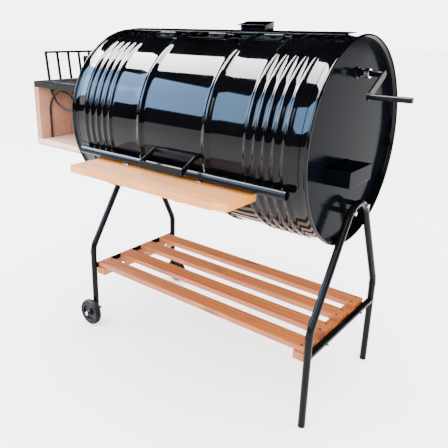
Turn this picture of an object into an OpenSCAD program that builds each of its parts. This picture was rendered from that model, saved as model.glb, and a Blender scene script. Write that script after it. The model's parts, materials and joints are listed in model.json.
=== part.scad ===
// Offset smoker: a steel drum cooking chamber with a side firebox, on a tube stand.
// X runs along the drum towards the crank, Y to the back, Z up. The origin is on
// the ground, at the centre of the whole smoker's outline.

/* [Drum] */
// Outer radius of the drum body
drum_r = 286; // [270:1:300]
// Length of the drum over its rims
drum_len = 888; // [860:1:920]
// Outer radius of the rolled rims
rim_r = 293; // [290:1:310]
// Sheet thickness of the drum, the lid and the end plates
wall = 2; // [1.5:0.5:3]
// Height of the drum's axis above the ground
axis_z = 805; // [760:1:850]
// Depth of the end plates below the rims
end_inset = 25; // [20:1:30]
// Distance of each rolling hoop from the middle
hoop_x = 127; // [110:1:140]
// Height of the rolling hoops
hoop_h = 6; // [4:0.5:8]
// Number of corrugations at each end
bead_count = 5; // [3:1:5]

/* [Lid] */
// Angle of the lid's front edge, measured up from the front of the drum
lid_front_a = -15; // [-20:1:0]
// Angle of the lid's rear edge
lid_rear_a = 75; // [65:1:76]
// Half the length of the lid
lid_half = 416.5; // [400:0.5:416.5]
// Width of the lid's handle
handle_w = 165; // [120:1:200]

/* [Grate and winch] */
// Height of the cooking grate above the drum's axis
grate_dz = -20; // [-25:1:0]
// Height of the winch shaft above the drum's axis
shaft_dz = 192; // [180:1:200]
// Radius of the winch shaft
shaft_r = 8; // [7:0.5:10]
// Length of the crank arm between centres
crank_len = 100; // [80:1:120]
// Length of the crank's handle
grip_len = 114; // [90:1:130]

/* [Firebox] */
// Length of the firebox outside the drum
firebox_len = 346; // [300:1:400]
// Depth of the firebox, front to back
firebox_d = 400; // [360:1:400]
// Height of the firebox
firebox_h = 247; // [220:1:250]
// Thickness of the firebrick lining
brick_t = 23; // [18:1:30]
// Height of the rail on top of the firebox
fence_h = 106; // [80:1:130]

/* [Stand] */
// Outer radius of the leg tube
tube_r = 11; // [10:0.5:12.5]
// Distance of the straight legs from the middle, front and back
leg_y = 221; // [200:1:240]
// Height of the bends in the legs
knee_z = 313; // [280:1:340]
// Radius of the hoop at the top of each leg frame
arch_r = 75; // [60:1:90]
// Radius of the wheels
wheel_r = 50; // [45:1:55]

/* [Shelf and table] */
// Thickness of the table board
board_t = 20; // [15:1:25]
// Thickness of the shelf slats
plank_t = 18; // [15:1:22]
// Width of one shelf slat
slat_w = 57; // [50:0.5:60]
// Space between slats
slat_gap = 54.5; // [50:0.5:58]
// Length of the front table
table_len = 607; // [500:1:640]
// Depth of the front table
table_d = 143; // [120:1:160]

/* [Hidden] */
$fn = 64;

half = drum_len / 2;
plate_x = half - end_inset;          // outer face of the end plates
inner_r = drum_r - wall;
rim_w = 9;
hoop_w = 34;
bead_h = 3.5;
bead_w = 26;
bead_pitch = 29;
bead_x = 262;                        // first corrugation from the middle
lid_gap = 2;
leg_x = half + 1 + tube_r;           // plane of each leg frame
firebox_left = -(half + firebox_len);
firebox_top = axis_z + 99;
firebox_floor = firebox_top - firebox_h;
firebox_front = -firebox_d / 2;
hearth_z = firebox_floor + wall + brick_t - 2;
frame_h = 25;                        // angle iron round the firebox top
frame_t = 3;
flange_w = 40;                       // width of its top flange
shaft_out = 78;                      // shaft length outside the right end plate
shaft_end = plate_x + shaft_out;
grip_end = shaft_end - 6 + grip_len;
table_top = axis_z - 115;
table_back = -272;
table_x = -11.5;                       // middle of the table
clip_xs = [-176, 95];                // middles of the table brackets
tab_xs = [-190, 108];                // middles of the clips on its back edge
crossbar_z = axis_z - 572;
shelf_top = axis_z - 554;
axle_out = 50;                       // axle bolt's end outside the leg centre
out_x = (firebox_left + grip_end) / 2;
out_y = (table_back - table_d + rim_r) / 2;

// ---- helpers ----

// Moves the drum's frame to the smoker's own frame.
module place() translate([-out_x, -out_y, 0]) children();

// Turns a shape around the drum's axis: angle 0 is the front, 90 is the top.
module around_axis(a0 = 0) translate([0, 0, axis_z]) rotate([90, 0, -90]) rotate([0, 0, a0])
    children();

// A ring segment about the drum's axis with radii r0 to r1, |x| up to reach.
module sector(r0, r1, a0, a1, reach) around_axis(a0) rotate_extrude(angle = a1 - a0)
    translate([r0, -reach]) square([r1 - r0, 2 * reach]);

// A plain cylinder along X.
module bar_x(x0, x1, r) translate([x0, 0, 0]) rotate([0, 90, 0]) cylinder(h = x1 - x0, r = r);

// A plain cylinder along Y.
module bar_y(y0, y1, r) translate([0, y0, 0]) rotate([-90, 0, 0]) cylinder(h = y1 - y0, r = r);

// A straight round bar between two points [y, z] of a plane across the drum.
module bar_yz(p, q, r) translate([0, p[0], p[1]])
    rotate([atan2(p[0] - q[0], q[1] - p[1]), 0, 0]) cylinder(h = norm(q - p), r = r);

// A bent round bar about centre [y, z], from angle a0 to a1, in the same plane.
module arc_yz(c, bend, a0, a1, r) translate([0, c[0], c[1]]) rotate([90, 0, 90])
    rotate([0, 0, a0]) rotate_extrude(angle = a1 - a0, $fn = 48) translate([bend, 0]) circle(r, $fn = 24);

// A bent round bar about centre [x, z], in a plane along the drum.
module arc_xz(c, bend, a0, a1, r) translate([c[0], 0, c[1]]) rotate([90, 0, 0])
    rotate([0, 0, a0]) rotate_extrude(angle = a1 - a0, $fn = 48) translate([bend, 0]) circle(r, $fn = 24);

// A box given by its lowest and highest corners.
module block(low, high) translate(low) cube(high - low);

// Both signs, for pairs.
module both_x() { children(); mirror([1, 0, 0]) children(); }
module both_y() { children(); mirror([0, 1, 0]) children(); }

// ---- drum ----

bead_xs = [for (i = [bead_count - 1 : -1 : 0]) -bead_x - i * bead_pitch];
knots = concat(
    [for (x = bead_xs, k = [-3 : 3]) [x + k * bead_w / 6, bead_h * (1 + cos(60 * k)) / 2]],
    [for (x = [-hoop_x, hoop_x], k = [-3 : 3]) [x + k * hoop_w / 6, hoop_h * (1 + cos(60 * k)) / 2]],
    [for (x = [for (b = [bead_count - 1 : -1 : 0]) -bead_xs[b]], k = [-3 : 3])
        [x + k * bead_w / 6, bead_h * (1 + cos(60 * k)) / 2]]);

// Section of the corrugated sheet between -reach and reach.
module sheet_section(reach) {
    outline = concat([[-reach, 0]], knots, [[reach, 0]]);
    last = len(outline) - 1;
    polygon(concat(
        [for (p = outline) [drum_r + p[1], p[0]]],
        [for (i = [last : -1 : 0]) [inner_r + outline[i][1], outline[i][0]]]));
}

// Closed 3-sided cut for the lid, from the front edge to the rear edge.
module lid_opening() sector(inner_r - 20, rim_r + 20, lid_front_a, lid_rear_a, lid_half + lid_gap);

flue = [[62, -43], [146, 0]];       // chimney duct's outline, low and high corner

module drum_shell() place() color([0.03, 0.03, 0.035]) difference() {
    union() {
        around_axis() rotate_extrude() sheet_section(half);
        both_x() translate([half - rim_w, 0, axis_z]) rotate([0, 90, 0]) difference() {
            cylinder(h = rim_w, r = rim_r);
            translate([0, 0, -1]) cylinder(h = rim_w + 2, r = inner_r);
        }
    }
    lid_opening();
    block([flue[0][0], flue[0][1], axis_z + 200], [flue[1][0], flue[1][1], axis_z + 400]);
}

// Plain disc welded inside the rim.
module end_plate() translate([plate_x - wall, 0, axis_z]) rotate([0, 90, 0])
    cylinder(h = wall, r = inner_r);

port = [[-150, -105], [150, 60]];    // firebox port in the left plate, from the axis
bush_r = 12;

module left_end_plate() place() color([0.03, 0.03, 0.035]) difference() {
    mirror([1, 0, 0]) end_plate();
    block([-half, port[0][0], axis_z + port[0][1]], [-half + 60, port[1][0], axis_z + port[1][1]]);
    translate([0, 0, axis_z + shaft_dz]) bar_x(-half, -half + 60, bush_r);
    mirror([1, 0, 0]) leg_bolt_holes();
}

slot = [[-142, -95], [2, -45]];      // drawer slot in the right plate, from the axis

module right_end_plate() place() color([0.03, 0.03, 0.035]) difference() {
    end_plate();
    block([half - 60, slot[0][0], axis_z + slot[0][1]], [half, slot[1][0], axis_z + slot[1][1]]);
    translate([0, 0, axis_z + shaft_dz]) bar_x(half - 60, half, bush_r);
    leg_bolt_holes();
}

// ---- lid ----

lid_cut_a = lid_gap / drum_r * 180 / PI;

module lid_shell() place() color([0.03, 0.03, 0.035])
    around_axis(lid_front_a + lid_cut_a)
        rotate_extrude(angle = lid_rear_a - lid_front_a - 2 * lid_cut_a) sheet_section(lid_half);

// The handle is a flat bar loop: one long side lies on the lid, the other is the grip.
bar_t = 5;
handle_x = 15;                       // middle of the handle
handle_z = -41;                      // top of its back bar, from the drum's axis
handle_y = -289;                     // front of its back bar
grip_y = -349;                       // front of the grip
grip_z = -91;                        // bottom of the grip, from the drum's axis
grip_h = 20;

module lid_handle() place() color([0.03, 0.03, 0.035]) translate([handle_x, 0, axis_z])
    difference() {
        union() {
            block([-handle_w / 2, handle_y, handle_z - 12], [handle_w / 2, -270, handle_z]);
            block([-handle_w / 2, grip_y, grip_z], [handle_w / 2, grip_y + bar_t, grip_z + grip_h]);
            for (x = [-handle_w / 2, handle_w / 2 - bar_t]) translate([x, 0, 0])
                rotate([90, 0, 90]) linear_extrude(bar_t)
                    polygon([[grip_y + 1, grip_z], [handle_y + 1, handle_z - 12],
                             [handle_y + 1, handle_z], [grip_y + 1, grip_z + grip_h]]);
        }
        bar_x(-handle_w, handle_w, drum_r);
    }

rest_r = 12.5;
rest_a = lid_front_a - 3.2;
rest_half = 395;

// Tube that stiffens the front of the opening, just below the lid's edge.
module lid_rest_tube() place() color([0.03, 0.03, 0.035]) {
    c = drum_r + hoop_h + rest_r + 0.2;
    difference() {
        union() {
            translate([0, -c * cos(rest_a), axis_z + c * sin(rest_a)]) bar_x(-rest_half, rest_half, rest_r);
            for (x = [-190, 0, 190]) translate([x - 10, 0, 0])
                block([0, -c * cos(rest_a), axis_z + c * sin(rest_a) - 4],
                      [20, -drum_r * cos(rest_a) + 1, axis_z + c * sin(rest_a) + 4]);
        }
        translate([0, -c * cos(rest_a), axis_z + c * sin(rest_a)])
            bar_x(-rest_half - 1, rest_half + 1, rest_r - 2);
        translate([0, 0, axis_z]) bar_x(-half, half, drum_r + 0.2);
    }
}

// ---- hinges ----

hinge_off = 6.5;
hinge_r = drum_r + hinge_off;
hinge_a = lid_rear_a;
hinge_xs = [-200, 0, 200];
knuckle_r = 4.5;
pin_r = 2.5;
hinge_w = 60;
leaf_l = 22;
leaf_t = 2;
leaf_gap = 1.5;

module at_hinge() translate([0, -hinge_r * cos(hinge_a), axis_z + hinge_r * sin(hinge_a)])
    rotate([90 - hinge_a, 0, 0]) children();

// One leaf: side is -1 towards the lid and 1 towards the back.
module leaf(side, spans, bore) difference() {
    low = -hinge_off - 1;
    union() {
        for (s = spans) {
            bar_x(s[0], s[1], knuckle_r);
            block([s[0], min(side * leaf_gap, side * 9), low], [s[1], max(side * leaf_gap, side * 9), -2]);
        }
        block([spans[0][0], min(side * leaf_gap, side * leaf_l), low],
              [spans[len(spans) - 1][1], max(side * leaf_gap, side * leaf_l), -hinge_off + leaf_t]);
    }
    bar_x(-hinge_w, hinge_w, bore);
    rotate([hinge_a - 90, 0, 0]) translate([-hinge_w, hinge_r * cos(hinge_a), -hinge_r * sin(hinge_a)])
        rotate([0, 90, 0]) cylinder(h = 2 * hinge_w, r = drum_r, $fn = 720);
    if (side < 0) bar_x(-knuckle / 2, knuckle / 2, knuckle_r + 1);
}

knuckle = hinge_w / 3;

module hinge_leaves_drum() place() color([0.03, 0.03, 0.035])
    for (x = hinge_xs) translate([x, 0, 0]) at_hinge()
        leaf(1, [[-knuckle / 2 + 0.3, knuckle / 2 - 0.3]], pin_r);

module hinge_leaves_lid() place() color([0.03, 0.03, 0.035])
    for (x = hinge_xs) translate([x, 0, 0]) at_hinge()
        leaf(-1, [[-hinge_w / 2, -knuckle / 2], [knuckle / 2, hinge_w / 2]], pin_r + 0.05);

module hinge_pins() place() color([0.2, 0.2, 0.2])
    for (x = hinge_xs) translate([x, 0, 0]) at_hinge() {
        bar_x(-hinge_w / 2 - 2, hinge_w / 2 + 2, pin_r);
        bar_x(hinge_w / 2 + 0.5, hinge_w / 2 + 3, pin_r + 1.5);
        bar_x(-hinge_w / 2 - 3, -hinge_w / 2 - 0.5, pin_r + 1.5);
    }

cover_r = [293, 296.5];
cover_a = [77.5, 91];
cover_half = 405;

// Bent strip over the gap behind the lid, on short feet between the beads.
module lid_seam_cover() place() color([0.03, 0.03, 0.035]) difference() {
    union() {
        sector(cover_r[0], cover_r[1], cover_a[0], cover_a[1], cover_half);
        for (x = [-235, -60, 35, 235]) translate([x, 0, 0])
            sector(drum_r, cover_r[0] + 1, 83, 86, 5);
    }
    block([flue[0][0] - 6, flue[0][1] - 12, axis_z + 200], [flue[1][0] + 8, 100, axis_z + 400]);
}

// ---- chimney ----

duct_top = axis_z + 301;
cap_front = axis_z + 309;
cap_back = axis_z + 320;
cap_over = 9;

module chimney_duct() place() color([0.03, 0.03, 0.035]) difference() {
    block([flue[0][0], flue[0][1], axis_z + 272], [flue[1][0], flue[1][1], duct_top]);
    block([flue[0][0] + wall, flue[0][1] + wall, axis_z + 200],
          [flue[1][0] - wall, flue[1][1] - wall, axis_z + 400]);
}

// Hood with a sloping roof, closed at the sides and the back and open at the front.
module chimney_cap() place() color([0.03, 0.03, 0.035]) {
    x0 = flue[0][0];
    x1 = flue[1][0];
    y0 = flue[0][1];
    y1 = flue[1][1];
    slope = (cap_back - cap_front) / (y1 - y0 + cap_over);
    translate([x0 - cap_over, 0, 0]) rotate([90, 0, 90]) linear_extrude(x1 - x0 + cap_over + 4)
        polygon([[y0 - cap_over, cap_front], [y1 + 4, cap_back], [y1 + 4, cap_back + wall],
                 [y0 - cap_over, cap_front + wall]]);
    for (x = [x0 - wall, x1]) translate([x, 0, 0]) rotate([90, 0, 90]) linear_extrude(wall)
        polygon([[y0, duct_top - 6], [y1 + wall, duct_top - 6],
                 [y1 + wall, cap_front + slope * (y1 + wall - y0 + cap_over)],
                 [y0, cap_front + slope * cap_over]]);
    block([x0 - wall, y1, duct_top - 6], [x1 + wall, y1 + wall, cap_back - 1]);
}

// ---- grate, winch and drawer ----

rest_drop = 16;
grate_half = [392, 250];
grate_y = -17;                       // the grate hangs under the front of the spools
rod_r = 5;
wire_r = 3;

// Angle irons on the end plates that the grate rests on.
module grate_rests() place() color([0.05, 0.05, 0.05]) both_x() {
    z = axis_z + grate_dz - rod_r;
    block([plate_x - wall - 30, -210, z - 3], [plate_x - wall, 210, z]);
    block([plate_x - wall - 3, -210, z - rest_drop], [plate_x - wall, 210, z]);
}

wire_pitch = 28;

module cooking_grate() place() color([0.55, 0.55, 0.56]) translate([0, grate_y, axis_z + grate_dz]) {
    both_y() translate([0, grate_half[1] - rod_r, 0]) bar_x(-grate_half[0], grate_half[0], rod_r);
    for (i = [-14 : 14]) translate([i * wire_pitch, 0, 0])
        bar_y(-grate_half[1] + rod_r, grate_half[1] - rod_r, abs(i) == 14 ? rod_r : wire_r);
}

bail_x = 203;
bail_top = 62;                       // ring of each bail above the drum's axis
spool_r = 14.5;

module grate_bails() place() color([0.4, 0.4, 0.4]) both_x() translate([bail_x, grate_y, axis_z]) {
    both_y() bar_yz([-grate_half[1] + rod_r, grate_dz + rod_r + wire_r], [-8, bail_top], wire_r);
    arc_yz([0, bail_top + 2], 8, 0, 360, wire_r);
}

module lift_cables() place() color([0.4, 0.4, 0.4]) both_x() translate([bail_x, grate_y, axis_z])
    translate([0, 0, bail_top + 13]) cylinder(h = shaft_dz - bail_top - 13, r = 2);

module winch_shaft() place() color([0.25, 0.25, 0.26]) translate([0, 0, axis_z + shaft_dz])
    bar_x(-plate_x - 25, shaft_end, shaft_r);

module chain_spools() place() color([0.05, 0.05, 0.05]) both_x()
    translate([bail_x, 0, axis_z + shaft_dz]) difference() {
        union() {
            bar_x(-12, 12, spool_r);
            bar_x(-15, -12, spool_r + 10);
            bar_x(12, 15, spool_r + 10);
        }
        bar_x(-20, 20, shaft_r);
    }

// Flanged bushes that carry the shaft in both end plates.
module shaft_bushes() place() color([0.6, 0.6, 0.62]) both_x()
    translate([0, 0, axis_z + shaft_dz]) difference() {
        union() {
            bar_x(plate_x - wall - 8, plate_x + 15, bush_r);
            bar_x(plate_x, plate_x + 4, bush_r + 4);
        }
        bar_x(plate_x - 20, plate_x + 20, shaft_r + 0.06);
    }

module shaft_collar() place() color([0.6, 0.6, 0.62]) translate([0, 0, axis_z + shaft_dz])
    difference() {
        union() {
            bar_x(plate_x + 24, plate_x + 38, shaft_r + 5);
            bar_x(-plate_x - 24, -plate_x - 16, shaft_r + 5);
        }
        bar_x(-half - 10, half + 60, shaft_r);
    }

arm_a = 210.5;                       // crank arm's direction in the end view
arm_w = 20;
arm_t = 6;
grip_r = 7.5;

module crank_arm() place() color([0.03, 0.03, 0.035]) translate([shaft_end, 0, axis_z + shaft_dz])
    rotate([arm_a, 0, 0]) difference() {
        union() {
            bar_x(-arm_t, 0, arm_w / 2);
            block([-arm_t, 0, -arm_w / 2], [0, crank_len, arm_w / 2]);
            translate([0, crank_len, 0]) bar_x(-arm_t, 0, arm_w / 2);
        }
        bar_x(-arm_t - 1, 1, shaft_r);
        translate([0, crank_len, 0]) bar_x(-arm_t - 1, 1, grip_r);
    }

module crank_handle() place() color([0.03, 0.03, 0.035]) translate([shaft_end, 0, axis_z + shaft_dz])
    rotate([arm_a, 0, 0]) translate([0, crank_len, 0]) {
        bar_x(-arm_t, grip_len - arm_t - 2, grip_r);
        bar_x(grip_len - arm_t - 2, grip_len - arm_t, grip_r - 1);
    }

drawer_out = 72;                     // the drawer stands open by this much
drawer_in = 130;                     // its length inside the end plate
drawer_y = [slot[0][0] + 2, slot[1][0] - 2];
drawer_z = [axis_z + slot[0][1] + 3, axis_z + slot[1][1] - 3];

module ember_drawer() place() color([0.03, 0.03, 0.035]) {
    x0 = plate_x - drawer_in;
    x1 = plate_x + drawer_out;
    difference() {
        block([x0, drawer_y[0], drawer_z[0]], [x1, drawer_y[1], drawer_z[1]]);
        block([x0 + wall, drawer_y[0] + wall, drawer_z[0] + wall],
              [x1 - wall, drawer_y[1] - wall, drawer_z[1] + 1]);
    }
}

// Cradle on the inside of the right end plate that the drawer slides in.
module drawer_cradle() place() color([0.05, 0.05, 0.05]) {
    x0 = plate_x - drawer_in - 78;
    x1 = plate_x - wall;
    z0 = drawer_z[0] - 1;
    for (y = [drawer_y[0] - 1, drawer_y[1] + 1 - 20]) block([x0, y, z0 - 3], [x1, y + 20, z0]);
    block([x0, drawer_y[0] - 4, z0 - 3], [x1, drawer_y[0] - 1, z0 + 14]);
    block([x0, drawer_y[1] + 1, z0 - 3], [x1, drawer_y[1] + 4, z0 + 14]);
    block([x0 - 3, drawer_y[0] - 4, z0 - 3], [x0, drawer_y[1] + 4, z0 + 14]);
}

// ---- firebox ----

box_right = -plate_x;                // the firebox butts on the recessed left plate

module firebox_shell() place() color([0.03, 0.03, 0.035]) difference() {
    block([firebox_left, firebox_front, firebox_floor], [box_right, -firebox_front, firebox_top - frame_h]);
    block([firebox_left + wall, firebox_front - 1, firebox_floor + wall],
          [box_right + 1, -firebox_front - wall, firebox_top]);
}

// Angle iron frame round the top of the firebox.
module firebox_top_frame() place() color([0.03, 0.03, 0.035]) {
    low = [firebox_left, firebox_front, firebox_top - frame_h];
    high = [box_right, -firebox_front, firebox_top - frame_t];
    difference() {
        block(low, high);
        block(low + [frame_t, frame_t, -1], high - [frame_t, frame_t, frame_t]);
        block(low + [flange_w, flange_w, -1], high + [-flange_w, -flange_w, 1]);
    }
}

griddle_x = [firebox_left + 26, -half - 5];

// Loose plate on the frame's flanges, clear of the drum's rim.
module griddle_plate() place() color([0.04, 0.04, 0.04])
    block([griddle_x[0], firebox_front + 8, firebox_top - frame_t],
          [griddle_x[1], -firebox_front - 8, firebox_top]);

lift_x = [firebox_left + 179, firebox_left + 290];
lift_h = 90;

// Bent flat bar for lifting the griddle.
module griddle_handle() place() color([0.03, 0.03, 0.035]) translate([0, firebox_front + 100, 0]) {
    for (x = lift_x) block([x, 0, firebox_top], [x + bar_t, 16, firebox_top + lift_h]);
    block([lift_x[0], 0, firebox_top + lift_h], [lift_x[1] + bar_t, 16, firebox_top + lift_h + bar_t]);
}

rail_posts = 7;
rail_pitch = 52;
rail_bar = 8;
rail_lean = 7;

// Rail of upright bars along the firebox's left edge, leaning out.
module pot_rail() place() color([0.03, 0.03, 0.035]) intersection() {
    z = firebox_top - frame_t;
    y = firebox_front + 56;
    top = fence_h + frame_t;
    translate([firebox_left + 14, 0, z]) rotate([0, -rail_lean, 0]) {
        for (i = [0 : rail_posts - 1])
            block([0, y + i * rail_pitch, -10], [rail_bar, y + i * rail_pitch + rail_bar, top - rail_bar]);
        block([0, y, top - rail_bar], [rail_bar, y + (rail_posts - 1) * rail_pitch + rail_bar, top]);
    }
    block([firebox_left, firebox_front, z], [0, -firebox_front, z + 2 * fence_h]);
}

lining_x = firebox_left + wall + brick_t;    // hearth's left side
lining_y = -firebox_front - wall - brick_t;  // hearth's back

module floor_bricks() place() color([0.82, 0.68, 0.62]) {
    nx = 3;
    ny = 3;
    w = (box_right - 0.5 - firebox_left - wall) / nx;
    d = (firebox_d - wall) / ny;
    for (i = [0 : nx - 1], j = [0 : ny - 1])
        block([firebox_left + wall + i * w + 0.3, firebox_front + j * d + 0.3, firebox_floor + wall],
              [firebox_left + wall + (i + 1) * w - 0.3, firebox_front + (j + 1) * d - 0.3, hearth_z]);
}

brick_top = firebox_top - frame_h;

module side_bricks() place() color([0.66, 0.40, 0.29]) {
    n = 3;
    d = (firebox_d - wall) / n;
    for (j = [0 : n - 1])
        block([firebox_left + wall, firebox_front + j * d + 0.3, hearth_z],
              [lining_x, firebox_front + (j + 1) * d - 0.3, brick_top]);
}

module back_bricks() place() color([0.66, 0.40, 0.29]) {
    n = 3;
    w = (box_right - 0.5 - lining_x) / n;
    for (i = [0 : n - 1])
        block([lining_x + i * w + 0.3, lining_y, hearth_z],
              [lining_x + (i + 1) * w - 0.3, lining_y + brick_t - 0.3, brick_top]);
}

basket_x = firebox_left + 136;       // middle of the fire basket
basket_r = 106;
basket_z = axis_z + 98;              // centre of the U bars
basket_rod = 4;
basket_ys = [-148, -50, 50, 148];
tip_a = 20;                          // the U bars stop this far below level

// Trough of U bars tied by bars along the firebox.
module fire_basket() place() color([0.05, 0.04, 0.04]) {
    for (y = basket_ys) translate([0, y, 0])
        arc_xz([basket_x, basket_z], basket_r, 180 + tip_a, 360 - tip_a, basket_rod);
    for (a = [180 + tip_a, 270, 360 - tip_a])
        translate([basket_x + basket_r * cos(a), 0, basket_z + basket_r * sin(a)])
            bar_y(basket_ys[0] - 4, basket_ys[3] + 4, basket_rod - 1);
}

arch_x = firebox_left + 118;
basket_leg_r = 85;
basket_leg_z = axis_z - 24;

// Two hoops that carry the basket, one at each end.
module basket_legs() place() color([0.05, 0.04, 0.04])
    for (y = [basket_ys[0] - 8, basket_ys[3] + 8]) translate([0, y, 0]) {
        arc_xz([arch_x, basket_leg_z], basket_leg_r, 0, 180, basket_rod);
        for (s = [-1, 1]) translate([arch_x + s * basket_leg_r, 0, hearth_z])
            cylinder(h = basket_leg_z - hearth_z, r = basket_rod);
    }

// ---- stand ----

bend_r = 70;
tube_in = tube_r - 2;
arch_y = 18;                         // the hoop leans a little to the back
arch_z = axis_z - 178 - arch_r;

// Slope of the straight leg between the knee and the hoop.
function slope(dy) = atan2(arch_z - knee_z, dy) + asin(arch_r / norm([dy, arch_z - knee_z]));

// Weld ring round a leg at point c [y, z], along direction d degrees from +Y.
module weld(c, d) {
    u = 4 * [cos(d), sin(d)];
    bar_yz(c - u, c + u, tube_r + 0.6);
}

// One side of a leg frame, on the -Y side, for a hoop centred at y = cy.
module leg_side(cy, foot) {
    a = slope(leg_y + cy);
    t = bend_r * tan((90 - a) / 2);
    c = [-leg_y + bend_r, knee_z - t];
    knee_end = c + bend_r * [cos(90 + a), sin(90 + a)];
    hoop_start = [cy, arch_z] + arch_r * [cos(90 + a), sin(90 + a)];
    bar_yz([-leg_y, foot], [-leg_y, knee_z - t], tube_r);
    arc_yz(c, bend_r, 90 + a, 180, tube_r);
    bar_yz(knee_end, hoop_start, tube_r);
    weld([-leg_y, knee_z - t], 90);
    weld(knee_end, a);
    weld(hoop_start, a);
}

module leg_frame(foot) {
    leg_side(arch_y, foot);
    mirror([0, 1, 0]) leg_side(-arch_y, foot);
    arc_yz([arch_y, arch_z], arch_r, 90 - slope(leg_y - arch_y), 90 + slope(leg_y + arch_y), tube_r);
}

bolt_r = 4;
bolt_pts = [[arch_y - 45, arch_z + 60], [arch_y + 45, arch_z + 60]];

module leg_bolt_holes() for (p = bolt_pts) translate([0, p[0], p[1]])
    bar_x(half - 60, leg_x + 30, bolt_r);

cap_h = 4;

axle_z = wheel_r;
axle_r = 5;
left_foot = 36;

module left_leg_frame() place() color([0.03, 0.03, 0.035]) difference() {
    translate([-leg_x, 0, 0]) leg_frame(left_foot);
    mirror([1, 0, 0]) leg_bolt_holes();
    translate([-leg_x, 0, axle_z]) bar_y(-leg_y - 20, leg_y + 20, axle_r);
    both_y() translate([-leg_x, leg_y, left_foot - 1]) cylinder(h = 7, r = tube_in);
}

module right_leg_frame() place() color([0.03, 0.03, 0.035]) difference() {
    translate([leg_x, 0, 0]) leg_frame(cap_h);
    leg_bolt_holes();
    both_y() translate([leg_x, leg_y, cap_h - 1]) cylinder(h = 15, r = tube_in);
}

module crossbar() difference() {
    translate([leg_x, 0, crossbar_z]) bar_y(-leg_y, leg_y, tube_r);
    translate([leg_x, 0, crossbar_z]) bar_y(-leg_y, leg_y, tube_in);
    both_y() translate([leg_x, leg_y, 0]) cylinder(h = knee_z, r = tube_r);
    batten_bolt_holes();
}

module left_crossbar() place() color([0.03, 0.03, 0.035]) mirror([1, 0, 0]) crossbar();
module right_crossbar() place() color([0.03, 0.03, 0.035]) crossbar();

// Spacers between the hoops and the recessed end plates.
module leg_spacers() place() color([0.03, 0.03, 0.035]) both_x() difference() {
    for (p = bolt_pts) translate([0, p[0], p[1]]) bar_x(plate_x, leg_x - tube_r, 8);
    leg_bolt_holes();
}

module leg_bolts() place() color([0.3, 0.3, 0.31]) both_x() for (p = bolt_pts)
    translate([0, p[0], p[1]]) {
        bar_x(plate_x - wall - 10, leg_x + tube_r, bolt_r);
        translate([leg_x + tube_r, 0, 0]) rotate([0, 90, 0]) cylinder(h = 5.5, r = 7, $fn = 6);
        translate([plate_x - wall - 7, 0, 0]) rotate([0, 90, 0]) cylinder(h = 7, r = 7, $fn = 6);
    }

// Plugs in the open ends of the legs.
module foot_caps() place() color([0.02, 0.02, 0.02]) both_y() {
    translate([leg_x, leg_y, 0]) cylinder(h = cap_h, r = tube_r);
    translate([leg_x, leg_y, cap_h]) cylinder(h = 14, r = tube_in);
    translate([-leg_x, leg_y, left_foot - cap_h]) cylinder(h = cap_h, r = tube_r);
    translate([-leg_x, leg_y, left_foot]) cylinder(h = 6, r = tube_in);
}

wheel_w = 24;
wheel_y = leg_y + tube_r + 4 + wheel_w / 2;  // middle of the wheel
rim_out = wheel_r - 13;

// Wheel body with its hub, on the back side of the stand.
module wheel() translate([-leg_x, wheel_y, axle_z]) difference() {
    union() {
        bar_y(-wheel_w / 2, wheel_w / 2, 13);
        bar_y(-4, 4, rim_out);
        difference() {
            bar_y(-wheel_w / 2 + 2, wheel_w / 2 - 2, rim_out);
            bar_y(-wheel_w / 2, wheel_w / 2, rim_out - 5);
        }
    }
    bar_y(-wheel_w, wheel_w, axle_r + 0.06);
}

module tyre() translate([-leg_x, wheel_y, axle_z]) rotate([90, 0, 0]) rotate_extrude()
    polygon([[rim_out, -10], [wheel_r - 5, -wheel_w / 2], [wheel_r - 1.5, -8], [wheel_r, -4],
             [wheel_r, 4], [wheel_r - 1.5, 8], [wheel_r - 5, wheel_w / 2], [rim_out, 10]]);

module wheel_front() place() color([0.04, 0.04, 0.045]) mirror([0, 1, 0]) wheel();
module wheel_rear() place() color([0.04, 0.04, 0.045]) wheel();
module tyre_front() place() color([0.02, 0.02, 0.02]) mirror([0, 1, 0]) tyre();
module tyre_rear() place() color([0.02, 0.02, 0.02]) tyre();

module axle_bolts() place() color([0.6, 0.6, 0.62]) both_y() translate([-leg_x, 0, axle_z]) {
    bar_y(leg_y - 24, wheel_y + wheel_w / 2 + 2, axle_r);
    translate([0, wheel_y + wheel_w / 2 + 1, 0]) rotate([-90, 0, 0])
        cylinder(h = leg_y + axle_out - wheel_y - wheel_w / 2 - 1, r = 8, $fn = 6);
    translate([0, leg_y - tube_r - 8, 0]) rotate([-90, 0, 0]) cylinder(h = 8, r = 8, $fn = 6);
}

// ---- shelf ----

slat_half = leg_x - tube_r - 1;
shelf_front = -209;
batten_w = 38;
batten_h = 25;
batten_x = slat_half - batten_w / 2;
screw_r = 2;
screw_dy = 20;

function slat_y(i) = shelf_front + (slat_w + slat_gap) * i;

module screw_points() for (i = [0 : 3], s = [-1, 1], u = [-1, 1])
    translate([s * batten_x, slat_y(i) + slat_w / 2 + u * screw_dy, shelf_top]) children();

module slat(i) difference() {
    block([-slat_half, slat_y(i), shelf_top - plank_t], [slat_half, slat_y(i) + slat_w, shelf_top]);
    screw_points() {
        translate([0, 0, -plank_t - 1]) cylinder(h = plank_t + 2, r = screw_r);
        translate([0, 0, -2]) cylinder(h = 3, r = 4.5);
    }
}

module shelf_slat_1() place() color([0.85, 0.50, 0.26]) slat(0);
module shelf_slat_2() place() color([0.85, 0.50, 0.26]) slat(1);
module shelf_slat_3() place() color([0.85, 0.50, 0.26]) slat(2);
module shelf_slat_4() place() color([0.85, 0.50, 0.26]) slat(3);

module batten_bolt_holes() for (y = [-120, 120]) translate([0, y, crossbar_z - 6])
    bar_x(batten_x - 40, leg_x + 30, 3);

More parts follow.
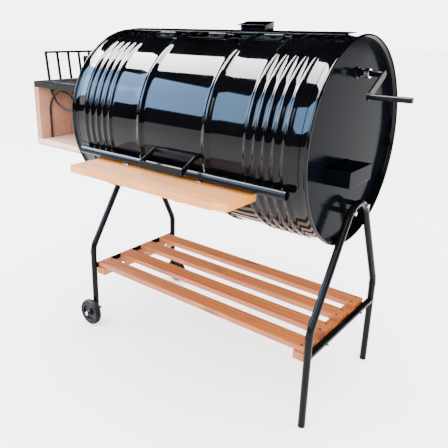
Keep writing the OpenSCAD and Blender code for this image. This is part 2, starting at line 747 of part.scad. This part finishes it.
module shelf_battens() place() color([0.78, 0.45, 0.24]) both_x() difference() {
    block([batten_x - batten_w / 2, shelf_front - 6, shelf_top - plank_t - batten_h],
          [batten_x + batten_w / 2, slat_y(3) + slat_w + 4, shelf_top - plank_t]);
    batten_bolt_holes();
    screw_points() translate([0, 0, -plank_t - 16]) cylinder(h = 18, r = screw_r);
    mirror([1, 0, 0]) screw_points() translate([0, 0, -plank_t - 16]) cylinder(h = 18, r = screw_r);
}

module slat_screws() place() color([0.5, 0.5, 0.5]) screw_points() {
    translate([0, 0, -plank_t - 14]) cylinder(h = plank_t + 13, r = screw_r);
    translate([0, 0, -2]) cylinder(h = 1.5, r = 4);
}

module batten_bolts() place() color([0.3, 0.3, 0.31]) both_x() for (y = [-120, 120])
    translate([0, y, crossbar_z - 6]) {
        bar_x(batten_x - batten_w / 2 - 6, leg_x + tube_r, 3);
        translate([leg_x + tube_r, 0, 0]) rotate([0, 90, 0]) cylinder(h = 5, r = 5.5, $fn = 6);
        translate([batten_x - batten_w / 2 - 5, 0, 0]) rotate([0, 90, 0]) cylinder(h = 5, r = 5.5, $fn = 6);
    }

// ---- front table ----

clip_w = 24;
arm_drop = 4;
table_screw_ys = [-300, -385];

module table_screw_points() for (x = clip_xs, y = table_screw_ys)
    translate([x + 7, y, table_top - board_t]) children();

module front_table() place() color([0.96, 0.68, 0.42]) difference() {
    x0 = table_x - table_len / 2;
    x1 = table_x + table_len / 2;
    y0 = table_back - table_d;
    translate([0, 0, table_top - board_t]) linear_extrude(board_t)
        polygon([[x0 + 10, y0], [x1 - 48, y0], [x1, y0 + 20], [x1, table_back], [x0, table_back],
                 [x0, y0 + 10]]);
    table_screw_points() translate([0, 0, -1]) cylinder(h = 13, r = screw_r);
}

// Steel bracket: an arm under the board and a strut to the drum.
module table_brackets() place() color([0.03, 0.03, 0.035]) difference() {
    for (x = clip_xs) translate([x - clip_w / 2, 0, 0]) {
        z = table_top - board_t;
        block([0, table_back - 130, z - arm_drop], [clip_w, -240, z]);
        translate([clip_w / 2 - 2, 0, 0]) rotate([90, 0, 90]) linear_extrude(4)
            polygon([[table_back - 120, z - arm_drop], [-230, z - arm_drop], [-200, z - 60]]);
    }
    translate([0, 0, axis_z]) bar_x(-half, half, drum_r);
    table_screw_points() translate([0, 0, -6]) cylinder(h = 8, r = screw_r);
}

// Plated angle clips on the board's back edge.
module table_clips() place() color([0.8, 0.8, 0.8]) for (x = tab_xs)
    translate([x, table_back - 3, table_top]) {
        block([-10, -14, 0], [10, 0, 2]);
        block([-10, -2, 0], [10, 0, 14]);
    }

module table_screws() place() color([0.5, 0.5, 0.5]) table_screw_points() {
    translate([0, 0, -arm_drop]) cylinder(h = arm_drop + 11, r = screw_r);
    translate([0, 0, -arm_drop - 2.5]) cylinder(h = 2.5, r = 4);
}

// ---- output ----

drum_shell();
left_end_plate();
right_end_plate();
lid_shell();
lid_handle();
lid_rest_tube();
hinge_leaves_drum();
hinge_leaves_lid();
hinge_pins();
chimney_duct();
chimney_cap();
grate_rests();
cooking_grate();
grate_bails();
lift_cables();
winch_shaft();
chain_spools();
shaft_bushes();
shaft_collar();
crank_arm();
crank_handle();
ember_drawer();
drawer_cradle();
firebox_shell();
firebox_top_frame();
griddle_plate();
griddle_handle();
pot_rail();
floor_bricks();
side_bricks();
back_bricks();
fire_basket();
basket_legs();
left_leg_frame();
right_leg_frame();
left_crossbar();
right_crossbar();
leg_spacers();
leg_bolts();
foot_caps();
wheel_front();
wheel_rear();
tyre_front();
tyre_rear();
axle_bolts();
shelf_slat_1();
shelf_slat_2();
shelf_slat_3();
shelf_slat_4();
shelf_battens();
slat_screws();
batten_bolts();
front_table();
table_brackets();
table_clips();
table_screws();
lid_seam_cover();
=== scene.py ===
"""Looks of the offset smoker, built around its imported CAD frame. Metres, +Z up."""

import json
import math

import bmesh
import bpy
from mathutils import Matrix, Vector


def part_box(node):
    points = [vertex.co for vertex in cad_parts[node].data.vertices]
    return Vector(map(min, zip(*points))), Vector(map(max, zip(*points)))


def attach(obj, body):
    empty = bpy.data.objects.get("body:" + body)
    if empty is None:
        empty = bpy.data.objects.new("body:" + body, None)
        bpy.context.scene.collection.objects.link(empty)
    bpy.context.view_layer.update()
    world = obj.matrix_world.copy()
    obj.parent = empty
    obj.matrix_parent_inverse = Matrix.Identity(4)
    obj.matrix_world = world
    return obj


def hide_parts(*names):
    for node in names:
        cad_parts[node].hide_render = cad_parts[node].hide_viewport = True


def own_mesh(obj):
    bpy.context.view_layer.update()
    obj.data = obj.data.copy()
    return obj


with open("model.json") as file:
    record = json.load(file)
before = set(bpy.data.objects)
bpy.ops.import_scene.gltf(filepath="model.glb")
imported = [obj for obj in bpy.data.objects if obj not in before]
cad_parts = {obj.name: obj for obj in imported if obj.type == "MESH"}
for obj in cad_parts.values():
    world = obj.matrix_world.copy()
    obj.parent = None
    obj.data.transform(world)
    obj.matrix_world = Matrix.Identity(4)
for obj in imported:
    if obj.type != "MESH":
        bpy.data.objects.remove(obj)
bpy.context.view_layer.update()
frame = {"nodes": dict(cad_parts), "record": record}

MM = 0.001

record = frame["record"]
slot_of = {s["node"]: s["material_slot"] for s in record["subparts"]}
body_of = {n: b for b, nodes in record["behaviour"]["bodies"].items() for n in nodes}

# ---- places taken from the frame ----

plate_lo, plate_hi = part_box("right_end_plate")
shell_lo, shell_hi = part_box("drum_shell")
lid_lo, lid_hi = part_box("lid_shell")
duct_lo, duct_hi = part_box("chimney_duct")

RIM_R = (shell_hi.y - shell_lo.y) / 2
RIM_RISE = 7 * MM  # the rim stands this much over the drum's sheet
DRUM_R = RIM_R - RIM_RISE
SHEET = 2 * MM
MID_X = (shell_lo.x + shell_hi.x) / 2
HALF = (shell_hi.x - shell_lo.x) / 2
AXIS_Y = (shell_lo.y + shell_hi.y) / 2
AXIS_Z = (plate_lo.z + plate_hi.z) / 2
LID_HALF = (lid_hi.x - lid_lo.x) / 2
LID_GAP = 2 * MM
OPEN_HALF = LID_HALF + LID_GAP
FRONT_A, REAR_A = -15.0, 75.0  # the opening's edges, degrees up from the front
EDGE_GAP_A = 0.4  # gap between lid and opening, degrees
HOOP_X, HOOP_W, HOOP_H = 127 * MM, 34 * MM, 6 * MM
BEAD_X, BEAD_PITCH, BEAD_W, BEAD_H, BEADS = 262 * MM, 29 * MM, 26 * MM, 3.5 * MM, 5
RIM_W = 12 * MM
# Outline of the rolled rim in mm: (along the drum, over its sheet).
RIM_CURL = [(2, 0.8), (3.5, 3.5), (5, 6.0), (7, 7.0), (10, 7.0), (11.5, 5.8), (12, 4)]
DRUM_STEPS, LID_STEPS = 180, 60  # facets round the drum and across the lid
SHEET_CREASE_A = 50.0  # edges of rolled sheet sharper than this stay sharp, degrees
CREASE_A = 32.0  # the same for every other piece
WELD = 2e-6  # corners of the CAD meshes closer than this are one
FLAT_A = 0.5  # faces of the CAD meshes within this angle are one, degrees


# ---- materials ----


class Shader:
    """A node material with a Principled shader, and short calls for its texture nodes."""

    def __init__(self, name, **inputs):
        self.material = bpy.data.materials.new(name)
        self.material.use_nodes = True
        self.tree = self.material.node_tree
        self.shader = self.tree.nodes["Principled BSDF"]
        for key, value in inputs.items():
            self.shader.inputs[key.replace("_", " ")].default_value = value
        self.coords = self.tree.nodes.new("ShaderNodeTexCoord").outputs["Object"]
        self.bump_out = None

    def link(self, a, b):
        self.tree.links.new(a, b)

    def node(self, kind, **settings):
        n = self.tree.nodes.new("ShaderNode" + kind)
        for key, value in settings.items():
            setattr(n, key, value)
        return n

    def mapped(self, scale):
        """The object's coordinates, scaled apart along each axis."""
        n = self.node("Mapping")
        self.link(self.coords, n.inputs["Vector"])
        n.inputs["Scale"].default_value = scale
        return n.outputs["Vector"]

    def noise(self, scale, detail=4.0, roughness=0.55, distortion=0.0, vector=None):
        n = self.node("TexNoise")
        self.link(vector or self.coords, n.inputs["Vector"])
        n.inputs["Scale"].default_value = scale
        n.inputs["Detail"].default_value = detail
        n.inputs["Roughness"].default_value = roughness
        n.inputs["Distortion"].default_value = distortion
        return n.outputs["Fac"]

    def cells(self, scale, vector=None, randomness=1.0):
        """Distance to the nearest of a scatter of points."""
        n = self.node("TexVoronoi", feature="F1")
        self.link(vector or self.coords, n.inputs["Vector"])
        n.inputs["Scale"].default_value = scale
        n.inputs["Randomness"].default_value = randomness
        return n.outputs["Distance"]

    def span(self, value, low, high, to_low=0.0, to_high=1.0):
        """Maps low..high of a value onto to_low..to_high, clamped."""
        n = self.node("MapRange")
        self.link(value, n.inputs["Value"])
        keys = ("From Min", "From Max", "To Min", "To Max")
        for key, v in zip(keys, (low, high, to_low, to_high)):
            n.inputs[key].default_value = v
        return n.outputs["Result"]

    def math(self, operation, a, b):
        n = self.node("Math", operation=operation)
        for i, v in enumerate((a, b)):
            if isinstance(v, (int, float)):
                n.inputs[i].default_value = v
            else:
                self.link(v, n.inputs[i])
        return n.outputs[0]

    def ramp(self, value, *stops):
        """A colour ramp through (position, colour) stops."""
        n = self.node("ValToRGB")
        self.link(value, n.inputs["Fac"])
        e = n.color_ramp.elements
        e[0].position, e[0].color = stops[0][0], (*stops[0][1], 1)
        e[1].position, e[1].color = stops[-1][0], (*stops[-1][1], 1)
        for position, colour in stops[1:-1]:
            e.new(position).color = (*colour, 1)
        return n.outputs["Color"]

    def mix(self, factor, a, b, blend="MIX"):
        """Blends two colours, each a tuple or a socket."""
        n = self.node("Mix", data_type="RGBA", blend_type=blend)
        for key, v in (("Factor", factor), ("A", a), ("B", b)):
            kind = "VALUE" if key == "Factor" else "RGBA"
            socket = next(s for s in n.inputs if s.name == key and s.type == kind)
            if isinstance(v, tuple):
                socket.default_value = (*v, 1)
            elif isinstance(v, (int, float)):
                socket.default_value = v
            else:
                self.link(v, socket)
        return next(s for s in n.outputs if s.type == "RGBA")

    def bump(self, height, strength, distance):
        """Adds a bump on top of any bump set before it."""
        n = self.node("Bump")
        n.inputs["Strength"].default_value = strength
        n.inputs["Distance"].default_value = distance
        self.link(height, n.inputs["Height"])
        if self.bump_out:
            self.link(self.bump_out, n.inputs["Normal"])
        self.bump_out = n.outputs["Normal"]
        self.link(self.bump_out, self.shader.inputs["Normal"])

    def colour(self, value):
        self.link(value, self.shader.inputs["Base Color"])

    def roughness(self, value):
        self.link(value, self.shader.inputs["Roughness"])


def gloss_paint(name, deep, painted_sheen, rough_low, rough_high, peel, ior):
    """Black gloss enamel: faint orange peel, long waves in the sheet, and random patches of a faint
    bluish painted sheen.
    """
    s = Shader(name, IOR=ior)
    # Random lighter, bluish patches in the colour: a painted sheen.
    painted_sheen_mask = s.noise(6.0, 5.0, 0.6, 0.4)
    s.colour(s.ramp(painted_sheen_mask, (0.3, deep), (0.75, painted_sheen)))
    s.roughness(s.span(s.noise(14.0, 6.0, 0.65), 0.35, 0.75, rough_low, rough_high))
    s.bump(s.noise(2.2, 2.0, 0.4), 0.25, 2.0 * MM)
    s.bump(s.noise(520.0, 2.0, 0.5), peel, 0.06 * MM)
    return s.material


def frame_paint(name):
    """Gloss paint on rolled stock, with scuffs where it gets knocked."""
    s = Shader(name, IOR=1.16)
    scuffs = s.span(s.noise(60.0, 8.0, 0.7, 0.3), 0.72, 0.80)
    paint = s.ramp(s.noise(9.0, 4.0), (0.3, (0.0008, 0.0008, 0.001)), (0.8, (0.0026, 0.0026, 0.0026)))
    s.colour(s.mix(scuffs, paint, (0.03, 0.026, 0.024)))
    s.roughness(s.span(s.noise(25.0, 6.0, 0.6), 0.3, 0.8, 0.16, 0.34))
    s.bump(s.noise(260.0, 4.0, 0.6), 0.12, 0.15 * MM)
    return s.material


def sooty_steel(name):
    """Heat-stained black steel: matt, with rust coming through."""
    s = Shader(name, Specular_IOR_Level=0.2)
    rust = s.span(s.noise(34.0, 9.0, 0.7, 0.6), 0.52, 0.68)
    black = s.ramp(s.noise(70.0, 5.0), (0.3, (0.002, 0.0018, 0.0018)), (0.8, (0.008, 0.007, 0.0065)))
    s.colour(s.mix(rust, black, (0.03, 0.012, 0.006)))
    s.roughness(s.span(s.noise(50.0, 5.0), 0.3, 0.8, 0.45, 0.85))
    s.bump(s.noise(300.0, 6.0, 0.7), 0.35, 0.4 * MM)
    return s.material


def plate_iron(name):
    """Hot-rolled griddle plate: blue-black scale, wiped streaks and fat stains."""
    s = Shader(name, IOR=1.2)
    streaks = s.noise(12.0, 6.0, 0.6, 0.2, s.mapped((0.35, 2.5, 1.0)))
    black, scale, stain = (0.002, 0.002, 0.0025), (0.005, 0.005, 0.005), (0.011, 0.009, 0.008)
    s.colour(s.ramp(streaks, (0.3, black), (0.55, scale), (0.8, stain)))
    s.roughness(s.span(s.noise(18.0, 7.0, 0.65), 0.3, 0.75, 0.22, 0.55))
    s.bump(s.noise(180.0, 5.0, 0.6), 0.18, 0.25 * MM)
    return s.material


def metal(name, dark, light, rough_low, rough_high, scale):
    """Bare or plated steel with drawn lines and light staining."""
    s = Shader(name, Metallic=1.0)
    drawn = s.noise(scale, 5.0, 0.6, 0.0, s.mapped((0.25, 1.0, 1.0)))
    s.colour(s.ramp(s.noise(22.0, 6.0, 0.6), (0.3, dark), (0.75, light)))
    s.roughness(s.span(drawn, 0.3, 0.75, rough_low, rough_high))
    s.bump(drawn, 0.05, 0.05 * MM)
    return s.material


def wood(name, early, late, knot, tone, gloss):
    """Softwood boards with their grain along X: rings, fibres, knots, a tone per board."""
    s = Shader(name, Coat_Weight=gloss, Coat_Roughness=0.35)
    warp = s.mapped((1.3, 9.0, 9.0))
    knots = s.cells(1.0, s.mapped((3.3, 11.0, 6.0)), randomness=0.9)
    core = s.span(knots, 0.12, 0.22, 0.9, 0.0)
    halo = s.span(knots, 0.15, 0.40, 1.0, 0.0)
    rings = s.node("TexWave", wave_type="BANDS", bands_direction="Y", wave_profile="SAW")
    s.link(warp, rings.inputs["Vector"])
    rings.inputs["Scale"].default_value = 1.7
    rings.inputs["Distortion"].default_value = 5.5
    rings.inputs["Detail"].default_value = 3.0
    rings.inputs["Detail Scale"].default_value = 0.8
    band = s.math("ADD", rings.outputs["Fac"], s.math("MULTIPLY", halo, 0.55))
    fibre = s.noise(95.0, 6.0, 0.65, 0.15, s.mapped((0.035, 1.0, 1.0)))
    grain = s.ramp(band, (0.10, early), (0.72, late), (0.95, early))
    board = s.noise(7.0, 1.0, 0.4, 0.0, s.mapped((0.02, 1.0, 0.0)))
    body = s.mix(s.span(board, 0.3, 0.7, 0.0, 0.75), grain, tone, "MULTIPLY")
    lined = s.mix(s.span(fibre, 0.35, 0.75, 0.0, 0.45), body, late)
    s.colour(s.mix(core, lined, knot))
    s.roughness(s.span(fibre, 0.3, 0.8, 0.36, 0.62))
    s.bump(fibre, 0.35, 0.35 * MM)
    s.bump(band, 0.10, 0.3 * MM)
    return s.material


def brick(name, low, middle, high, soot):
    """Fire-clay brick: a tone for each brick, sand grains, pits and soot."""
    s = Shader(name, Specular_IOR_Level=0.25)
    one = s.node("NewGeometry").outputs["Random Per Island"]
    blotches = s.math("MULTIPLY", s.noise(17.0, 6.0, 0.65), 0.7)
    patches = s.math("ADD", blotches, s.math("MULTIPLY", one, 0.35))
    clay = s.ramp(patches, (0.25, low), (0.5, middle), (0.8, high))
    grains = s.span(s.noise(620.0, 3.0, 0.6), 0.58, 0.70)
    sandy = s.mix(s.math("MULTIPLY", grains, 0.5), clay, (0.85, 0.74, 0.64))
    black = s.span(s.noise(8.0, 7.0, 0.65, 0.5), 0.50, 0.75, 0.0, soot)
    s.colour(s.mix(black, sandy, (0.035, 0.028, 0.025)))
    s.roughness(s.span(s.noise(90.0, 4.0), 0.3, 0.8, 0.78, 0.98))
    s.bump(s.noise(150.0, 8.0, 0.75), 0.55, 0.9 * MM)
    s.bump(s.span(s.cells(260.0), 0.0, 0.35), 0.25, 0.5 * MM)
    return s.material


def rubber(name, rough):
    """Black rubber or moulded plastic: fine texture and grey dust in the low spots."""
    s = Shader(name, Specular_IOR_Level=0.12)
    dust = s.span(s.noise(40.0, 7.0, 0.7), 0.45, 0.75, 0.0, 0.5)
    s.colour(s.mix(dust, (0.001, 0.001, 0.0012), (0.005, 0.0047, 0.0045)))
    s.roughness(s.span(s.noise(120.0, 4.0), 0.3, 0.8, rough, rough + 0.25))
    s.bump(s.noise(700.0, 3.0, 0.6), 0.25, 0.12 * MM)
    return s.material


# The paints are set darker and less reflective than real enamel, to stay black under
# a very bright stage.
materials = {
    "drum_paint": gloss_paint(
        "drum_enamel", (0.0005, 0.0005, 0.0007), (0.0014, 0.0014, 0.0019), 0.03, 0.08, 0.05, 1.2
    ),
    "frame_paint": frame_paint("stand_enamel"),
    "heat_paint": sooty_steel("sooty_steel"),
    "bare_steel": metal("bare_steel", (0.20, 0.20, 0.20), (0.42, 0.42, 0.42), 0.22, 0.42, 260.0),
    "zinc": metal("zinc_plate", (0.46, 0.46, 0.47), (0.72, 0.72, 0.74), 0.18, 0.34, 180.0),
    "plate_iron": plate_iron("griddle_iron"),
    # Both bricks are one fire clay: the firebrick colours are darkened as painted shade, the
    # hearth_brick colours paled as painted light.
    "firebrick": brick(
        "fire_brick_painted_shade", (0.22, 0.085, 0.045), (0.31, 0.135, 0.080), (0.38, 0.19, 0.125), 0.25
    ),
    "hearth_brick": brick(
        "hearth_brick", (0.42, 0.23, 0.16), (0.54, 0.33, 0.24), (0.64, 0.43, 0.33), 0.18
    ),
    "shelf_wood": wood(
        "shelf_wood", (0.33, 0.088, 0.002), (0.21, 0.048, 0.0015), (0.05, 0.010, 0.002),
        (0.80, 0.62, 0.46), 0.08,
    ),
    "table_wood": wood(
        "table_pine", (0.50, 0.175, 0.009), (0.43, 0.13, 0.005), (0.36, 0.15, 0.06),
        (0.97, 0.92, 0.88), 0.1,
    ),
    "wheel_body": rubber("wheel_plastic", 0.28),
    "tyre": rubber("tyre_rubber", 0.55),
    "plug": rubber("plug_rubber", 0.5),
}
# The blue in the end plates' and drawer's black colours is a painted dark navy reflection.
end_paint_painted_reflection = gloss_paint(
    "end_enamel_painted_reflection", (0.0006, 0.0009, 0.0016), (0.0012, 0.0018, 0.003), 0.10, 0.22, 0.04, 1.06
)
# Nodes that look different from the rest of their slot.
looks = {
    "left_end_plate": end_paint_painted_reflection,
    "right_end_plate": end_paint_painted_reflection,
    "ember_drawer": end_paint_painted_reflection,
    "lid_rest_tube": materials["frame_paint"],
}


# ---- pieces ----


def add_piece(name, mesh, node):
    """Puts a mesh in the scene in place of one CAD node, on that node's body."""
    mesh.materials.clear()
    mesh.materials.append(looks.get(node, materials[slot_of[node]]))
    piece = bpy.data.objects.new(name, mesh)
    bpy.context.scene.collection.objects.link(piece)
    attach(piece, body_of[node])
    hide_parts(node)
    return piece


def soften(mesh, angle=CREASE_A):
    """Smooth shading, with creases left sharp."""
    for face in mesh.polygons:
        face.use_smooth = True
    mesh.set_sharp_from_angle(angle=math.radians(angle))


def round_edges(piece, width, segments, angle=CREASE_A):
    """A small bevel on the edges sharper than the crease angle."""
    bevel = piece.modifiers.new("edges", "BEVEL")
    bevel.width = width
    bevel.segments = segments
    bevel.limit_method = "ANGLE"
    bevel.angle_limit = math.radians(angle)
    bevel.harden_normals = False


def finished(node, edge, segments):
    """The CAD node's own shape with worked edges and smooth curves."""
    mesh = bpy.data.meshes.new(node + "_finish")
    bm = bmesh.new()
    bm.from_mesh(frame["nodes"][node].data)
    bmesh.ops.remove_doubles(bm, verts=bm.verts, dist=WELD)
    bmesh.ops.dissolve_limit(
        bm,
        angle_limit=math.radians(FLAT_A),
        verts=bm.verts,
        edges=bm.edges,
        delimit={"SHARP"},
    )
    bmesh.ops.recalc_face_normals(bm, faces=bm.faces)
    bm.to_mesh(mesh)
    bm.free()
    soften(mesh)
    piece = add_piece(node + "_finish", mesh, node)
    if edge:
        round_edges(piece, edge, segments)
    return piece


# ---- the drum and its lid ----


def bead(x, centre, width, height):
    u = abs(x - centre) / width
    return height * (1 + math.cos(2 * math.pi * u)) / 2 if u < 0.5 else 0.0


def sheet_rise(x):
    """Height of the rolled sheet over the drum's radius, at x from its middle."""
    rise = sum(bead(abs(x), BEAD_X + i * BEAD_PITCH, BEAD_W, BEAD_H) for i in range(BEADS))
    return rise + bead(abs(x), HOOP_X, HOOP_W, HOOP_H)


def stations(reach, breaks=()):
    """Places along the drum, close together on the beads and hoops."""
    xs = {-reach, reach, 0.0, *breaks}
    for c, w in [(HOOP_X, HOOP_W)] + [(BEAD_X + i * BEAD_PITCH, BEAD_W) for i in range(BEADS)]:
        for k in range(-8, 9):
            for side in (-1, 1):
                xs.add(round(side * (c + k * w / 16), 6))
    for k in range(-12, 13):
        xs.add(round(k * reach / 12, 6))
    return sorted(x for x in xs if abs(x) <= reach)


def rolled(node, points, angles, keep):
    """Rolled sheet steel: points are (x, radius) along it, angles in degrees up from the front."""
    closed = abs(angles[-1] - angles[0] - 360.0) < 1e-6
    count = len(angles) - 1 if closed else len(angles)
    verts = []
    for inset in (0.0, SHEET):
        for x, r in points:
            for a in (math.radians(v) for v in angles[:count]):
                turned = (r - inset) * math.cos(a), (r - inset) * math.sin(a)
                verts.append((MID_X + x, AXIS_Y - turned[0], AXIS_Z + turned[1]))
    inner = len(points) * count
    outer_faces = []
    for i in range(len(points) - 1):
        for j in range(len(angles) - 1):
            k = (j + 1) % count
            x = (points[i][0] + points[i + 1][0]) / 2
            if keep(x, (angles[j] + angles[j + 1]) / 2):
                row, above = i * count, (i + 1) * count
                outer_faces.append((row + j, above + j, above + k, row + k))
    edges = {(f[i], f[(i + 1) % 4]) for f in outer_faces for i in range(4)}
    rims = [(b, a, a + inner, b + inner) for a, b in edges if (b, a) not in edges]
    inner_faces = [tuple(v + inner for v in reversed(f)) for f in outer_faces]
    bm = bmesh.new()
    made = [bm.verts.new(v) for v in verts]
    for face in outer_faces + inner_faces + rims:
        bm.faces.new([made[v] for v in face])
    bmesh.ops.delete(bm, geom=[v for v in bm.verts if not v.link_faces], context="VERTS")
    bmesh.ops.recalc_face_normals(bm, faces=bm.faces)
    mesh = bpy.data.meshes.new(node + "_sheet")
    bm.to_mesh(mesh)
    bm.free()
    soften(mesh, SHEET_CREASE_A)
    return add_piece(node + "_sheet", mesh, node)


def build_drum():
    rim_at = HALF - RIM_W
    flue_x = (duct_lo.x - MID_X, duct_hi.x - MID_X)
    flue_a = [math.degrees(math.asin((y - AXIS_Y) / DRUM_R)) + 90 for y in (duct_lo.y, duct_hi.y)]
    xs = stations(rim_at, (-OPEN_HALF, OPEN_HALF, *flue_x))
    body = [(x, DRUM_R + sheet_rise(x)) for x in xs]
    rim = [(rim_at + u * MM, DRUM_R + v * MM) for u, v in RIM_CURL]
    points = [(-x, r) for x, r in reversed(rim)] + body + rim
    angles = {FRONT_A + 360.0 * i / DRUM_STEPS for i in range(DRUM_STEPS + 1)} | {REAR_A, *flue_a}

    def keep(x, a):
        in_lid = abs(x) < OPEN_HALF and FRONT_A < a < REAR_A
        in_flue = flue_x[0] < x < flue_x[1] and flue_a[0] < a < flue_a[1]
        return not in_lid and not in_flue

    return rolled("drum_shell", points, sorted(angles), keep)


def build_lid():
    points = [(x, DRUM_R + sheet_rise(x)) for x in stations(LID_HALF)]
    low, high = FRONT_A + EDGE_GAP_A, REAR_A - EDGE_GAP_A
    angles = [low + (high - low) * i / LID_STEPS for i in range(LID_STEPS + 1)]
    return rolled("lid_shell", points, angles, lambda x, a: True)


build_drum()
build_lid()

EDGES = {
    "shelf_wood": 2.0 * MM,
    "table_wood": 2.5 * MM,
    "firebrick": 2.0 * MM,
    "hearth_brick": 2.0 * MM,
    "drum_paint": 0.6 * MM,
    "frame_paint": 0.8 * MM,
    "heat_paint": 0.5 * MM,
    "plate_iron": 0.8 * MM,
    "bare_steel": 0.3 * MM,
    "zinc": 0.4 * MM,
    "wheel_body": 0.8 * MM,
    "tyre": 1.0 * MM,
    "plug": 0.6 * MM,
}
for node, slot in slot_of.items():
    if node not in ("drum_shell", "lid_shell", "lift_cables"):
        finished(node, EDGES[slot], 3 if "wood" in slot else 2)

# The cables ride on the stand, with a mesh of their own.
cables = finished("lift_cables", 0, 0)
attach(cables, "stand")
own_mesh(cables)


# ---- floor, light and camera ----


FLOOR_HALF = 40.0
SKY_STRENGTH = 6.0
CAMERA_OFFSET = (1.0196, -1.3966, 0.2944)  # from the middle of the drum's axis
CAMERA_ANGLES = (38.53, 18.07, 1.114)  # azimuth, elevation and roll, degrees
CAMERA_LENS, CAMERA_SENSOR = 42.44, 36.0  # mm
CAMERA_SHIFT = (0.0398, -0.0490)


def floor():
    corners = [(sx * FLOOR_HALF, sy * FLOOR_HALF, 0) for sx, sy in ((-1, -1), (1, -1), (1, 1), (-1, 1))]
    mesh = bpy.data.meshes.new("studio_floor")
    mesh.from_pydata(corners, [], [(0, 1, 2, 3)])
    s = Shader("studio_floor", Specular_IOR_Level=0.1)
    s.colour(s.ramp(s.noise(3.0, 3.0), (0.3, (0.92, 0.92, 0.92)), (0.8, (0.94, 0.94, 0.94))))
    s.roughness(s.span(s.noise(6.0, 3.0), 0.3, 0.8, 0.7, 0.85))
    mesh.materials.append(s.material)
    ground = bpy.data.objects.new("studio_floor", mesh)
    bpy.context.scene.collection.objects.link(ground)


def area_light(name, place, target, width, depth, power, tint=(1.0, 1.0, 1.0), card=False):
    """A soft lamp; a card shows in reflections only."""
    light = bpy.data.lights.new(name, "AREA")
    light.shape = "RECTANGLE"
    light.size, light.size_y = width, depth
    light.energy = power
    light.color = tint
    lamp = bpy.data.objects.new(name, light)
    lamp.location = place
    lamp.visible_diffuse = not card
    lamp.rotation_euler = (Vector(target) - Vector(place)).to_track_quat("-Z", "Y").to_euler()
    bpy.context.scene.collection.objects.link(lamp)


def camera():
    """The photograph's viewpoint: turned to the right end, a little above the drum."""
    azimuth, elevation, roll = (math.radians(v) for v in CAMERA_ANGLES)
    data = bpy.data.cameras.new("camera")
    data.sensor_width = CAMERA_SENSOR
    data.lens = CAMERA_LENS
    data.shift_x, data.shift_y = CAMERA_SHIFT
    view = bpy.data.objects.new("camera", data)
    back = Vector(
        (
            math.sin(azimuth) * math.cos(elevation),
            -math.cos(azimuth) * math.cos(elevation),
            math.sin(elevation),
        )
    )
    flat = (-back).cross(Vector((0, 0, 1))).normalized()
    rise = flat.cross(-back)
    right = math.cos(roll) * flat + math.sin(roll) * rise
    up = -math.sin(roll) * flat + math.cos(roll) * rise
    turn = view.matrix_world.to_3x3()
    for row in range(3):
        turn[row] = (right[row], up[row], back[row])
    view.matrix_world = turn.to_4x4()
    view.location = Vector((MID_X, AXIS_Y, AXIS_Z)) + Vector(CAMERA_OFFSET)
    bpy.context.scene.collection.objects.link(view)
    bpy.context.scene.camera = view


floor()
# The two cards draw the white and the pale blue bands on the drum.
area_light("strip_over", (-2.0, -0.4, 3.4), (-2.0, -0.4, 0.0), 4.5, 1.3, 2500.0, card=True)
area_light("sky_card", (-3.0, -2.9, 2.9), (0.0, 0.0, 0.8), 4.5, 2.2, 1500.0, (0.34, 0.60, 1.0), True)
area_light("soft_front", (2.6, -3.6, 2.6), (0.0, 0.0, 0.6), 2.4, 2.4, 260.0)
area_light("soft_left", (-4.2, -2.0, 2.2), (-0.3, 0.0, 0.6), 2.0, 2.0, 100.0)
world = bpy.data.worlds.new("studio")
world.use_nodes = True
backdrop = world.node_tree.nodes["Background"]
backdrop.inputs["Color"].default_value = (1.0, 1.0, 1.0, 1.0)
backdrop.inputs["Strength"].default_value = SKY_STRENGTH
world.cycles_visibility.glossy = False  # so the gloss paint doesn't mirror the white backdrop
bpy.context.scene.world = world
camera()
